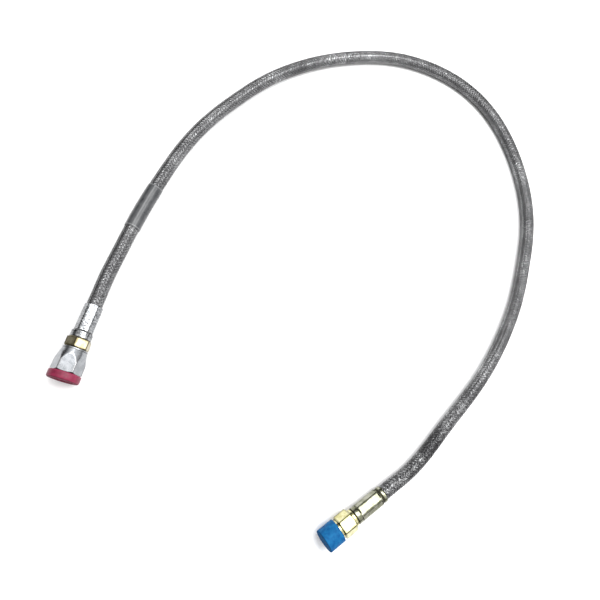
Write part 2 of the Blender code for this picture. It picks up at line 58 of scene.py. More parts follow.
# The hose.
HOSE_RADIUS = 8.05 * MM
STRAIGHT_OUT = 35.0 * MM
DOWN_BEND = 24.0 * MM
SLEEVE_START = 96.0 * MM
SLEEVE_LENGTH = 57.0 * MM
SLEEVE_WALL = 0.4 * MM
SLEEVE_RAMP = 35.0 * MM
SLEEVE_TAPER = 1.6 * MM
SLEEVE_SWELL = 0.04 * MM
ROUTE = (
    (-0.110, 0.190), (-0.090, 0.235), (-0.068, 0.278), (-0.043, 0.321), (-0.013, 0.360), (0.022, 0.394),
    (0.060, 0.425), (0.103, 0.450), (0.149, 0.468), (0.198, 0.479), (0.247, 0.482), (0.295, 0.473),
    (0.339, 0.452), (0.374, 0.419), (0.397, 0.377), (0.410, 0.329), (0.414, 0.281), (0.408, 0.231),
    (0.393, 0.183), (0.375, 0.138), (0.351, 0.095), (0.323, 0.056), (0.289, 0.019), (0.254, -0.014),
)

# The wire braid: twelve flat bundles of wires each way, each over two and under two of the others.
BUNDLES = 12
BRAID_LAY = 44.0 * MM
BUNDLE_WIDTH = 2.5 * MM
BUNDLE_WIRES = 7
BRAID_MIDDLE = 7.80 * MM
BRAID_WAVE = 0.20 * MM
BRAID_CLEARANCE = 0.05 * MM
WAVE_STEEPNESS = 1.25
READINGS_A_WEAVE = 7

# A bundle is flat over this share of its width, and its sides drop by this much.
BUNDLE_FLAT = 0.62
BUNDLE_DROP = 0.26 * MM

# Neighbouring bundles read their own noise this far apart.
NOISE_SHIFT = 0.37

# The tube below the braid, coloured near black as painted shade.
CORE_RADIUS = 7.45 * MM
CORE_STEP = 5 * MM
CORE_COLUMNS = 24

# The streaks of light and dark along each bundle, and the rings that turning leaves on steel.
STREAKS_A_METRE = 300
RINGS_A_METRE = 4000

# The braid's painted shade starts at this Y and is full this much further towards the flare end.
SHADE_FROM = 50 * MM
SHADE_REACH = 80 * MM

# The crimped ferrules.
FERRULE_BORE = 7.8 * MM
FERRULE_CHAMFER = 0.35 * MM
FERRULE_END_WALL = 2.2 * MM
LOCK_GROOVE_DEPTH = 1.2 * MM
CRIMP_LANDS = 6
LAND_RADIUS = 8.65 * MM
RIDGE_RADIUS = 9.4 * MM
RIDGE_BLEND = 0.6 * MM
CRIMP_RUN_OUT = 1.6 * MM
RUN_OUT_SHADE = 1.5
NUT_CRIMP_LENGTH = 29.6 * MM
NUT_CRIMP_TURN = radians(22.5)
NUT_BASE_RADIUS = 10.8 * MM
NUT_BASE_LENGTH = 7.1 * MM
LIP_RADIUS = 9.2 * MM
LIP_LENGTH = 3.8 * MM
LIP_GROOVE_RADIUS = 8.45 * MM
LIP_GROOVE_LENGTH = 2.2 * MM
FLARE_CRIMP_START = LIP_LENGTH + LIP_GROOVE_LENGTH
FLARE_CRIMP_LENGTH = 28.5 * MM
FLARE_CRIMP_TURN = radians(52.5)
FLARE_BASE_RADIUS = 9.5 * MM
FLARE_BASE_LENGTH = 5.0 * MM
NUT_FERRULE_LENGTH = NUT_CRIMP_LENGTH + NUT_BASE_LENGTH
FLARE_FERRULE_LENGTH = FLARE_CRIMP_START + FLARE_CRIMP_LENGTH + FLARE_BASE_LENGTH

# The nipples, under the ferrules.
NIPPLE_TIP = 4.0 * MM
BARBS = 4
BARB_DEPTH = 0.4 * MM
CLAMPED_BRAID_WALL = 0.7 * MM
CLAMPED_LINER_WALL = 0.8 * MM
BARB_RADIUS = FERRULE_BORE - CLAMPED_BRAID_WALL - CLAMPED_LINER_WALL - 3 * GAP
STEM_BORE = 4.2 * MM
COLLAR_WIDTH = 1.5 * MM
FLARE_ANGLE = radians(37)
CHAMFER_ANGLE = radians(30)

# The nut end.
NUT_HEX_FLATS = 22.2 * MM
NUT_HEX_START = NUT_FERRULE_LENGTH + GAP
NUT_HEX_LENGTH = 10.4 * MM
NUT_HEX_TURN = radians(30)
NOSE_RADIUS = 8.7 * MM
SEAT_DEPTH_IN_NUT = 11.2 * MM
SEAT_RADIUS = 7.8 * MM
NUT_FLATS = 27.0 * MM
NUT_TURN = radians(-6)
NUT_START = NUT_HEX_START + NUT_HEX_LENGTH + GAP
NUT_LENGTH = 25.0 * MM
NUT_NECK_RADIUS = 12.35 * MM
NUT_NECK_LENGTH = 1.6 * MM
NUT_CONE_LENGTH = 13.5 * MM
NUT_THREAD_RADIUS = 10.15 * MM
NUT_BACK_WALL = 9.0 * MM
NUT_MOUTH_CHAMFER = 1.6 * MM
WIRE_RADIUS = 0.8 * MM
WIRE_PLACE = 4.6 * MM
PLUG_START = NUT_START + NUT_LENGTH + GAP
PLUG_RADIUS = 16.0 * MM
PLUG_LENGTH = 8.2 * MM
PLUG_EDGE = 1.6 * MM
PLUG_SHANK = 10.0 * MM
PLUG_WALL = 1.6 * MM
DISH_RADIUS = 11.5 * MM
DISH_DEPTH = 1.4 * MM

# The flare end. Its mouth is the middle of its ferrule's open end.
FLARE_END_MOUTH = (0.1690, -0.0803, 0.009998)
COLLAR_START = FLARE_FERRULE_LENGTH + GAP
COLLAR_RADIUS = 9.5 * MM
COLLAR_LENGTH = 4.1 * MM
COLLAR_GROOVE_RADIUS = 8.6 * MM
COLLAR_GROOVE_LENGTH = 1.0 * MM
FLARE_HEX_FLATS = 22.2 * MM
FLARE_HEX_START = COLLAR_START + COLLAR_LENGTH
FLARE_HEX_LENGTH = 15.8 * MM
FLARE_HEX_TURN = radians(8)
HEX_BACK_RADIUS = 10.6 * MM
THREAD_RADIUS = 11.0 * MM
THREAD_LENGTH = 12.4 * MM
THREAD_PITCH = 1.814 * MM
THREAD_DEPTH = 1.0 * MM
UNDERCUT_RADIUS = 9.7 * MM
UNDERCUT_LENGTH = 2.2 * MM
CONE_TIP_RADIUS = 7.1 * MM
CONE_STEP_LENGTH = 1.2 * MM
FLARE_MOUTH_RADIUS = 6.1 * MM
FLARE_MOUTH_DEPTH = 6.0 * MM
CAP_START = FLARE_HEX_START + FLARE_HEX_LENGTH + UNDERCUT_LENGTH
THREAD_END = CAP_START + THREAD_LENGTH
FLARE_TIP = THREAD_END + CONE_STEP_LENGTH + (UNDERCUT_RADIUS - CONE_TIP_RADIUS) / tan(FLARE_ANGLE)
CAP_WALL = 1.3 * MM
CAP_EDGE = 0.9 * MM
CAP_TIP_ROOM = 0.7 * MM
CAP_RADIUS = THREAD_RADIUS + GAP + CAP_WALL
CAP_END = FLARE_TIP + CAP_TIP_ROOM + CAP_WALL

# A thread's crests and roots are flat by about this share of half a pitch. It is cut where the radius is
# the thread's own, within the allowance, and it starts this share of a pitch before its end.
THREAD_FLAT = 0.15
THREAD_ALLOWANCE = 0.05 * MM
THREAD_LEAD = 0.2
# Thread crests and roots are marked this strongly, for painted shade in the plating.
THREAD_MARK = 0.6

# How finely the surfaces are read.
CURVE_READINGS = 40
CORNER_POINTS = 6
THREAD_READINGS = 9
ROUND_COLUMNS = 192
MILLED_COLUMNS = 240
SLEEVE_COLUMNS = 96
FINE_STEP = 0.35 * MM
PLAIN_STEP = 0.5 * MM
COARSE_STEP = 0.8 * MM
SAME_PLACE = 1e-7

# A rounding takes up at most this share of the straight on either side of it.
ROUNDING_SHARE = 0.45

# A hexagon's corners and chamfers are softened by this much, and its flats get a frame of painted shade this
# wide.
HEX_CORNER_BLEND = 0.35 * MM
CHAMFER_BLEND = 0.30 * MM
FRAME_WIDTH = 2.4 * MM

# The studio. Each softbox has a name, a place, an aim, a width, a height and a power.
SKY_STRENGTH = 1.45
SKY_LEAN = 0.3
SOFTBOXES = (
    ("right", (0.64, 0.20, 1.3), (0.42, 0.22, 0), 0.36, 0.8, 11),
    ("back", (0.09, 0.66, 1.3), (0.12, -0.10, 0), 0.4, 0.4, 6),
    ("side", (0.80, -0.08, 0.90), (-0.14, 0.08, 0), 0.4, 0.4, 2),
)
FLOOR_HALF_WIDTH = 8.0
FLOOR_LEVEL = -0.05 * MM


def smooth_curve(points):
    """A natural cubic spline through the points, read at even places between each pair."""
    points = np.array(points, float)
    chord = np.linalg.norm(np.diff(points, axis=0), axis=1)
    count = len(points)
    matrix = np.eye(count)
    right = np.zeros_like(points)
    slope = np.diff(points, axis=0) / chord[:, None]
    for i in range(1, count - 1):
        matrix[i, i - 1 : i + 2] = chord[i - 1], 2 * (chord[i - 1] + chord[i]), chord[i]
        right[i] = 6 * (slope[i] - slope[i - 1])
    bend = np.linalg.solve(matrix, right)
    read = np.linspace(0, 1, CURVE_READINGS, endpoint=False)[:, None]
    pieces = []
    for i in range(count - 1):
        left = 1 - read
        cubic = ((left**3 - left) * bend[i] + (read**3 - read) * bend[i + 1]) * chord[i] ** 2 / 6
        pieces.append(left * points[i] + read * points[i + 1] + cubic)
    return np.concatenate([*pieces, points[-1:]])


def smooth_step(value):
    """0 below 0, 1 above 1, and 3v^2 - 2v^3 in between."""
    value = np.clip(value, 0, 1)
    return value * value * (3 - 2 * value)


class Fitting:
    """A straight fitting: its mouth, and its axes outwards, across and up."""

    def __init__(self, mouth, outwards):
        self.mouth = np.array(mouth, float)
        self.outwards = np.array(outwards, float)
        across = np.cross((0, 0, 1), self.outwards)
        self.across = across / np.linalg.norm(across)
        self.up = np.cross(self.outwards, self.across)

    def at(self, distance, radius, angle):
        """mouth + distance * outwards + radius * (cos(angle) * across + sin(angle) * up)."""
        distance, radius, angle = np.broadcast_arrays(distance, radius, angle)
        round_it = np.cos(angle)[..., None] * self.across + np.sin(angle)[..., None] * self.up
        return self.mouth + distance[..., None] * self.outwards + radius[..., None] * round_it


class HoseLine:
    """The hose's axis: a smooth curve on the floor plan, raised towards both fittings and in the sleeve."""

    def __init__(self, nut_end, flare_end):
        plan = smooth_curve([*self.straight_out(nut_end), *ROUTE, *self.straight_out(flare_end)[::-1]])
        self.along = np.concatenate([[0], np.cumsum(np.linalg.norm(np.diff(plan, axis=0), axis=1))])
        self.length = self.along[-1]
        from_nut = self.along + GAP
        from_flare = self.length - self.along + GAP
        rise = np.maximum(self.height(nut_end, from_nut), self.height(flare_end, from_flare))
        self.points = np.column_stack([plan, rise + self.sleeve_lift(from_nut)])
        ahead = np.gradient(self.points, axis=0)
        self.ahead = ahead / np.linalg.norm(ahead, axis=1, keepdims=True)

    @staticmethod
    def straight_out(fitting):
        heading = fitting.outwards[:2] / np.linalg.norm(fitting.outwards[:2])
        return [fitting.mouth[:2] - heading * d for d in (GAP, STRAIGHT_OUT / 2, STRAIGHT_OUT)]

    @staticmethod
    def height(fitting, distance):
        """The hose's radius, plus a straight slope up to the fitting's mouth that starts in a parabola."""
        slope = (fitting.mouth[2] - HOSE_RADIUS) / (STRAIGHT_OUT + DOWN_BEND / 2)
        left = np.clip((STRAIGHT_OUT + DOWN_BEND - distance) / DOWN_BEND, 0, 1)
        straight = np.clip(STRAIGHT_OUT - distance, 0, None)
        return HOSE_RADIUS + slope * (DOWN_BEND / 2 * left**2 + straight)

    @staticmethod
    def sleeve_lift(distance):
        """The sleeve's wall and gap along the sleeve, running out in half a cosine on either side."""
        outside = np.maximum(SLEEVE_START - distance, distance - SLEEVE_START - SLEEVE_LENGTH)
        return (GAP + SLEEVE_WALL) * (1 + np.cos(pi * np.clip(outside / SLEEVE_RAMP, 0, 1))) / 2

    def read(self, rows, distance):
        return np.stack([np.interp(distance, self.along, rows[:, k]) for k in range(3)], axis=-1)

    def at(self, distance, radius, angle):
        """centre(distance) + radius * (cos(angle) * side + sin(angle) * top), square to the hose's axis."""
        distance, radius, angle = np.broadcast_arrays(distance, radius, angle)
        ahead = self.read(self.ahead, distance)
        side = np.cross(ahead, (0, 0, 1))
        side /= np.linalg.norm(side, axis=-1, keepdims=True)
        top = np.cross(side, ahead)
        round_it = np.cos(angle)[..., None] * side + np.sin(angle)[..., None] * top
        return self.read(self.points, distance) + radius[..., None] * round_it


def grid_faces(sheets, rows, columns, close_rows, close_columns):
    """Corner numbers of the faces of grids, which may close on themselves along rows and columns."""
    index = np.arange(sheets * rows * columns).reshape(sheets, rows, columns)
    if close_rows:
        index = np.concatenate([index, index[:, :1]], axis=1)
    if close_columns:
        index = np.concatenate([index, index[:, :, :1]], axis=2)
    corners = index[:, :-1, :-1], index[:, 1:, :-1], index[:, 1:, 1:], index[:, :-1, 1:]
    return np.stack(corners, axis=-1).reshape(-1, 4)


def face_uv(uv):
    """The same faces' corners in grids of UV places, which are one wider wherever a grid closes."""
    corners = uv[:, :-1, :-1], uv[:, 1:, :-1], uv[:, 1:, 1:], uv[:, :-1, 1:]
    return np.stack(corners, axis=3).reshape(-1, 4, 2)


def faces_inwards(points, faces):
    """Whether a closed body's faces enclose a negative volume."""
    a, b, c, d = (points[faces[:, k]] for k in range(4))
    volume = np.einsum("ij,ij->i", a, np.cross(b, c)) + np.einsum("ij,ij->i", a, np.cross(c, d))
    return volume.sum() < 0


def add_piece(name, points, faces, uv, edge, finishes, body, looks=None):
    """A mesh object at the origin, with a UV map, an edge attribute and its finishes."""
    mesh = bpy.data.meshes.new(name)
    mesh.from_pydata(points.tolist(), [], faces.tolist())
    mesh.uv_layers.new(name="lay").data.foreach_set("uv", uv.astype(np.float32).ravel())
    mesh.attributes.new("edge", "FLOAT", "POINT").data.foreach_set("value", edge.astype(np.float32).ravel())
    for finish in finishes:
        mesh.materials.append(finish)
    if looks is not None:
        mesh.polygons.foreach_set("material_index", looks.astype(np.int32))
    shape = bmesh.new()
    shape.from_mesh(mesh)
    bmesh.ops.remove_doubles(shape, verts=shape.verts[:], dist=SAME_PLACE)
    shape.to_mesh(mesh)
    shape.free()
    mesh.shade_smooth()
    piece = bpy.data.objects.new(name, mesh)
    bpy.context.scene.collection.objects.link(piece)
    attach(piece, body)
    return piece


def rounded_profile(corners, closed, step, fine=None):
    """Points along a profile of (distance, radius, rounding) corners.

    Each corner becomes the curve (1-q)^2 a + 2q(1-q) corner + q^2 b, from a to b, which lie the rounding's
    length before and after the corner. The straights between are read at even steps, finer inside the
    fine stretch of distances. The marks given back with the points are 1 on an outer corner, -1 on an
    inner one and 0 between.
    """
    count = len(corners)
    spots = np.array([c[:2] for c in corners], float)
    rows = []
    marks = []
    for i, (distance, radius, rounding) in enumerate(corners):
        here = spots[i]
        before = spots[i - 1] - here
        after = spots[(i + 1) % count] - here
        if not closed and i in (0, count - 1):
            curve = here[None]
            mark = np.zeros(1)
        else:
            reach_before = min(rounding, ROUNDING_SHARE * np.hypot(*before)) / np.hypot(*before)
            reach_after = min(rounding, ROUNDING_SHARE * np.hypot(*after)) / np.hypot(*after)
            q = np.linspace(0, 1, CORNER_POINTS)[:, None]
            start = here + before * reach_before
            end = here + after * reach_after
            curve = (1 - q) ** 2 * start + 2 * q * (1 - q) * here + q**2 * end
            turn = np.sign(-before[0] * after[1] + before[1] * after[0])
            mark = -turn * np.sin(pi * q[:, 0])
        rows.append(curve)
        marks.append(mark)
    out = []
    out_marks = []
    for i in range(count):
        out.append(rows[i])
        out_marks.append(marks[i])
        if i == count - 1 and not closed:
            break
        start = rows[i][-1]
        end = rows[(i + 1) % count][0]
        middle = (start[0] + end[0]) / 2
        wanted = THREAD_PITCH / THREAD_READINGS if fine and fine[0] <= middle <= fine[1] else step
        pieces = max(1, round(np.hypot(*(end - start)) / wanted))
        q = np.linspace(0, 1, pieces + 1)[1:-1, None]
        out.append(start + q * (end - start))
        out_marks.append(np.zeros(len(q)))
    return np.concatenate(out), np.concatenate(out_marks)


def soft_least(one, other, blend):
    """The lesser of two radii, rounded where they cross."""
    share = np.clip(0.5 + 0.5 * (other - one) / blend, 0, 1)
    return other * (1 - share) + one * share - blend * share * (1 - share)


def milled(flats, turn, start, end):
    """Six flats: flats / 2 / cos(angle from the middle of the nearest flat), and the turned radius if less.

    The mark is 1 round each flat, at its two corners and at both ends of the hexagon, and fades out inwards;
    the plating paints shade there.
    """

    def form(distance, angle, radius, edge):
        from_flat = np.abs((angle - turn) % (pi / 3) - pi / 6)
        nearest = flats / 2 / np.cos(from_flat)
        next_one = flats / 2 / np.cos(pi / 3 - from_flat)
        prism = soft_least(nearest, next_one, HEX_CORNER_BLEND)
        shaped = soft_least(radius, prism, CHAMFER_BLEND)
        to_corner = flats / 2 * (tan(pi / 6) - np.tan(from_flat))
        to_end = np.minimum(distance - start, end - distance)
        frame_mark = 1 - smooth_step(np.minimum(to_corner, to_end) / FRAME_WIDTH)
        return shaped, np.where(radius > flats / 2, frame_mark, edge)

    return form


def crimped(start, end, turn):
    """Six lands pressed into a round shell between the two distances, with soft run-outs marked for painted
    shade.
    """

    def form(distance, angle, radius, edge):
        step = 2 * pi / CRIMP_LANDS
        from_land = (angle - turn + step / 2) % step - step / 2
        lands = soft_least(LAND_RADIUS / np.cos(from_land), RIDGE_RADIUS, RIDGE_BLEND)
        inside = smooth_step(np.minimum(distance - start, end - distance) / CRIMP_RUN_OUT)
        depth = np.maximum(radius - lands, 0)
        # Painted shade in the creases where the crimp runs out.
        crease_shade = 4 * inside * (1 - inside) * depth / (RIDGE_RADIUS - LAND_RADIUS)
        return radius - inside * depth, edge - RUN_OUT_SHADE * crease_shade

    return form


def painted_shade_rings(*places):
    """Painted shade in rings: the mark falls to -1 at each (distance, reach), and fades out within the
    reach.
    """

    def form(distance, angle, radius, edge):
        for place, reach in places:
            near = 1 - smooth_step(np.abs(distance - place) / reach)
            edge = edge * (1 - near) - near
        return radius, edge

    return form


def threaded(base, depth, start, end):
    """A helical V groove of this depth, outwards if positive, cut in the surface of this radius."""

    def form(distance, angle, radius, edge):
        turn = (distance / THREAD_PITCH - angle / (2 * pi)) % 1
        groove = np.clip((1 + 2 * THREAD_FLAT) * np.abs(2 * turn - 1) - THREAD_FLAT, 0, 1)
        inside = smooth_step(np.minimum(distance - start, end - distance) / THREAD_PITCH + THREAD_LEAD)
        inside = inside * (np.abs(radius - base) < THREAD_ALLOWANCE)
        # Crests are marked up and roots down, for painted shade.
        return radius + depth * inside * groove, edge + inside * (1 - 2 * groove) * THREAD_MARK

    return form


def turned(
    name, corners, line, finish, body, forms=(), closed=True,
    columns=MILLED_COLUMNS, step=FINE_STEP, fine=None, first_angle=0.0,
):
    """A body turned from a profile round a straight or bent axis, and then milled, crimped or threaded."""
    profile, marks = rounded_profile(corners, closed, step, fine)
    distance = profile[:, :1]
    angle = first_angle + 2 * pi * np.arange(columns)[None] / columns
    radius = np.repeat(profile[:, 1:], columns, axis=1)
    edge = np.repeat(marks[:, None], columns, axis=1)
    for form in forms:
        radius, edge = form(distance, angle, radius, edge)
    points = line.at(distance, radius, angle).reshape(-1, 3)
    rows = len(profile)
    faces = grid_faces(1, rows, columns, closed, True)
    loop = np.concatenate([profile, profile[:1]]) if closed else profile
    run = np.concatenate([[0], np.cumsum(np.hypot(*np.diff(loop, axis=0).T))])
    around = np.arange(columns + 1) / columns
    uv = np.stack(np.broadcast_arrays(around[None], run[:, None]), axis=-1)[None]
    corners_uv = face_uv(uv)
    if faces_inwards(points, faces):
        faces = faces[:, ::-1]
        corners_uv = corners_uv[:, ::-1]
    return add_piece(name, points, faces, corners_uv, edge, [finish], body)


class Value:
    """A number that changes over a surface. Arithmetic on it adds Math nodes."""

    def __init__(self, nodes, socket):
        self.nodes = nodes
        self.socket = socket

    def math(self, operation, *values):
        return self.nodes.node("ShaderNodeMath", {"operation": operation}, dict(enumerate(values)))

    def __add__(self, other):
        return self.math("ADD", self, other)

    __radd__ = __add__

    def __rsub__(self, other):
        return self.math("SUBTRACT", other, self)

    def __mul__(self, other):
        return self.math("MULTIPLY", self, other)

    __rmul__ = __mul__

    def __pow__(self, other):
        return self.math("POWER", self, other)

    def most(self, other):
        return self.math("MAXIMUM", self, other)

    def sine(self):
        return self.math("SINE", self)

    def size(self):
        return self.math("ABSOLUTE", self)


class Nodes:
    """A node tree, and the one way in which nodes are added to it."""

    def __init__(self, tree):
        self.tree = tree

    def put(self, value, socket):
        """A link where the value is one, and else the socket's own number or colour."""
        if isinstance(value, Value):
            self.tree.links.new(value.socket, socket)
        elif value is not None:
            socket.default_value = value

    def node(self, kind, settings, inputs, output=0):
        """Adds a node with its settings and its inputs, by name or number, and gives back one output."""
        made = self.tree.nodes.new(kind)
        for key, setting in settings.items():
            if key == "stops":
                elements = made.color_ramp.elements
                for k, (place, colour) in enumerate(setting):
                    stop = elements[k] if k < len(elements) else elements.new(place)
                    stop.position = place
                    stop.color = (*colour, 1)
            else:
                setattr(made, key, setting)
        for key, value in inputs.items():
            self.put(value, made.inputs[key])
        return Value(self, made.outputs[output])

    def ramp(self, value, *stops):
        return self.node("ShaderNodeValToRGB", {"stops": stops}, {0: value})

    def mix(self, share, one, other):
        """One colour going over into the other as the share goes from 0 to 1."""
        return self.node("ShaderNodeMix", {"data_type": "RGBA"}, {0: share, 6: one, 7: other}, 2)


class Finish(Nodes):
    """A material with one Principled BSDF, whose constants are set on its own sockets."""

    def __init__(self, name, **constants):
        self.material = bpy.data.materials.new(name)
        self.material.use_nodes = True
        super().__init__(self.material.node_tree)
        self.shader = self.tree.nodes["Principled BSDF"]
        for socket, value in constants.items():
            self.shader.inputs[socket.replace("_", " ")].default_value = value

    def place(self):
        return self.node("ShaderNodeTexCoord", {}, {}, "Object")

    def lay(self):
        """The piece's own UV map as two numbers: round or across it, and along it in metres."""
        uv = self.node("ShaderNodeUVMap", {"uv_map": "lay"}, {})
        return [self.node("ShaderNodeSeparateXYZ", {}, {0: uv}, k) for k in range(2)]

    def vector(self, *values):
        return self.node("ShaderNodeCombineXYZ", {}, dict(enumerate(values)))

    def edge(self):
        return self.node("ShaderNodeAttribute", {"attribute_name": "edge"}, {}, "Fac")

    def noise(self, size, detail=3.0, vector=None):
        """Noise from 0 to 1, with features of about this size in metres."""
        inputs = {"Vector": vector or self.place(), "Scale": 1 / size, "Detail": detail}
        return self.node("ShaderNodeTexNoise", {}, inputs)

    def finished(self, colour, roughness=None, height=None, depth=0.1 * MM):
        """Links the colour, the roughness, and the height of the relief in shares of its depth."""
        self.put(colour, self.shader.inputs["Base Color"])
        self.put(roughness, self.shader.inputs["Roughness"])
        if height is not None:
            bump = self.node("ShaderNodeBump", {}, {"Strength": 1.0, "Distance": depth, "Height": height})
            self.put(bump, self.shader.inputs["Normal"])
        return self.material


def braid_wires():
    """Stainless wires side by side in each bundle, some brighter than others, with painted shade where they
    dive.

    Painted shade also falls between the wires, and towards the flare end they darken with painted shade,
    along the Y axis.
    """
    finish = Finish("braid_wires", Metallic=1.0)
    across, along = finish.lay()
    wire = (across * (pi * BUNDLE_WIRES)).sine().size()
    own = finish.noise(1.0, 2.0, finish.vector(across * 2, along * STREAKS_A_METRE, 0.0))
    shade = own * 0.6 + finish.noise(30 * MM, 2.0) * 0.4
    low, middle, high = (0.10, 0.10, 0.102), (0.20, 0.20, 0.204), (0.46, 0.465, 0.47)
    colour = finish.ramp(shade, (0.36, low), (0.50, middle), (0.64, high))
    # Painted shade: the braid darkens towards the flare end, along the Y axis.
    shade_colour = finish.ramp(shade, (0.38, (0.02, 0.02, 0.021)), (0.50, (0.10, 0.10, 0.102)), (0.62, high))
    across_floor = finish.node("ShaderNodeSeparateXYZ", {}, {0: finish.place()}, 1)
    colour = finish.mix((SHADE_FROM - across_floor) * (1 / SHADE_REACH), colour, shade_colour)
    # Painted shade: bundles darken where they dive under the others.
    raised = finish.edge() * 0.5 + 0.5
    colour = finish.mix(raised, (0.02, 0.02, 0.021, 1), colour)
    # Painted shade in the grooves between the wires.
    colour = finish.mix(wire**0.5, (0.03, 0.03, 0.032, 1), colour)
    return finish.finished(colour, 0.18 + 0.14 * shade, wire, 0.08 * MM)


def braid_shade_core():
    """A near-black tube below the bundles: painted shade that shows between them."""
    finish = Finish("braid_shade_core", Roughness=0.75)
    colour = finish.ramp(finish.noise(2 * MM), (0.3, (0.012, 0.012, 0.013)), (0.7, (0.04, 0.04, 0.042)))
    return finish.finished(colour)


def shrink_sleeve():
    """Smooth grey shrink tube, a little uneven, with painted highlights on its rounded end rims."""
    finish = Finish("shrink_sleeve")
    cloud = finish.noise(9 * MM)
    colour = finish.ramp(cloud, (0.3, (0.03, 0.032, 0.035)), (0.7, (0.065, 0.067, 0.07)))
    # Painted highlight: the rounded rims at the sleeve's ends are lightened.
    edge = finish.edge().most(0.0)
    colour = finish.mix(edge * 0.18, colour, (0.7, 0.7, 0.7, 1))
    return finish.finished(colour, 0.22 + 0.15 * cloud, finish.noise(1.2 * MM), 0.02 * MM)


def plating(name, tints, rim, rough, cloud_size=5 * MM, relief=0.02 * MM):
    """Zinc plating on steel: clouds of three tints, turning rings, painted shade in a rim tint on corners
    and round the flats, and painted shade with more roughness in grooves.
    """
    finish = Finish(name, Metallic=1.0)
    along = finish.lay()[1]
    edge = finish.edge()
    rings = finish.noise(1.0, 4.0, finish.vector(along * RINGS_A_METRE, 0.0, 0.0))
    cloud = finish.noise(cloud_size, 4.0)
    tint = finish.ramp(cloud * 0.8 + rings * 0.2, (0.40, tints[0]), (0.5, tints[1]), (0.60, tints[2]))
    # Painted shade: outer corners, the frames of milled flats and thread crests take the rim tint.
    tint = finish.mix(edge.most(0.0) * 0.95, tint, (*rim, 1))
    # Painted shade: inner corners, grooves, crimp run-outs and thread roots darken, and they are also
    # rougher.
    dull_and_shaded = (edge * -1.0).most(0.0)
    tint = finish.mix(dull_and_shaded * 0.9, tint, (*(0.25 * c for c in rim), 1))
    grain = finish.noise(0.25 * cloud_size)
    roughness = rough + 0.14 * cloud + 0.10 * rings + 0.3 * dull_and_shaded
    return finish.finished(tint, roughness, rings * 0.12 + grain * 0.6, relief)


def moulding(name, deep, pale, rough, shine):
    """Moulded plastic: a clouded colour, a painted highlight on rounded rims, painted shade in marked rings
    and inner corners, and a fine satin grain.
    """
    finish = Finish(name, Specular_IOR_Level=shine)
    cloud = finish.noise(4 * MM, 4.0)
    grain = finish.noise(0.5 * MM, 2.0)
    edge = finish.edge()
    dull_and_shaded = (edge * -1.0).most(0.0)
    # Painted highlight: outer rounded rims are lighter.
    colour = finish.ramp(cloud + edge.most(0.0) * 0.15, (0.32, deep), (0.68, pale))
    # Painted shade: marked rings and inner corners darken, and they are also rougher.
    colour = finish.mix(dull_and_shaded * 0.55, colour, (*(0.4 * c for c in deep), 1))
    return finish.finished(colour, rough + 0.12 * cloud + 0.3 * dull_and_shaded, grain, 0.03 * MM)


def clamped_wires():
    """The braid's wires where a ferrule clamps them."""
    finish = Finish("clamped_wires", Metallic=1.0)
    grain = finish.noise(0.6 * MM)
    colour = finish.ramp(grain, (0.35, (0.08, 0.08, 0.08)), (0.65, (0.4, 0.4, 0.41)))
    return finish.finished(colour, 0.5, grain)


def drawn_wire():
    """Bare drawn spring steel."""
    finish = Finish("drawn_wire", Metallic=1.0)
    grain = finish.noise(0.4 * MM)
    colour = finish.ramp(grain, (0.3, (0.3, 0.3, 0.3)), (0.7, (0.55, 0.55, 0.56)))
    return finish.finished(colour, 0.3 + 0.1 * grain)


def liner_tube():
    """Milky extruded liner."""
    finish = Finish("liner_tube", Roughness=0.4)
    cloud = finish.noise(3 * MM)
    colour = finish.ramp(cloud, (0.3, (0.7, 0.7, 0.66)), (0.7, (0.86, 0.86, 0.83)))
    return finish.finished(colour, 0.35 + 0.1 * cloud)


def corner_radius(flats):
    return flats / 2 / cos(pi / 6)


def hex_chamfer(flats, edge_radius):
    """Length of the 30 degree chamfer that runs from this radius out to the hexagon's corners."""
    return (corner_radius(flats) - edge_radius) * tan(CHAMFER_ANGLE)


def face_outwards(points, centres, faces, uv):
    """Turns round each face, and its UV corners, that looks towards the hose's axis."""
    first, second, third = (points[faces[:, k]] for k in range(3))
    normal = np.cross(second - first, third - first)
    inwards = np.einsum("ij,ij->i", normal, first - centres[faces[:, 0]]) < 0
    faces[inwards] = faces[inwards][:, ::-1]
    uv[inwards] = uv[inwards][:, ::-1]


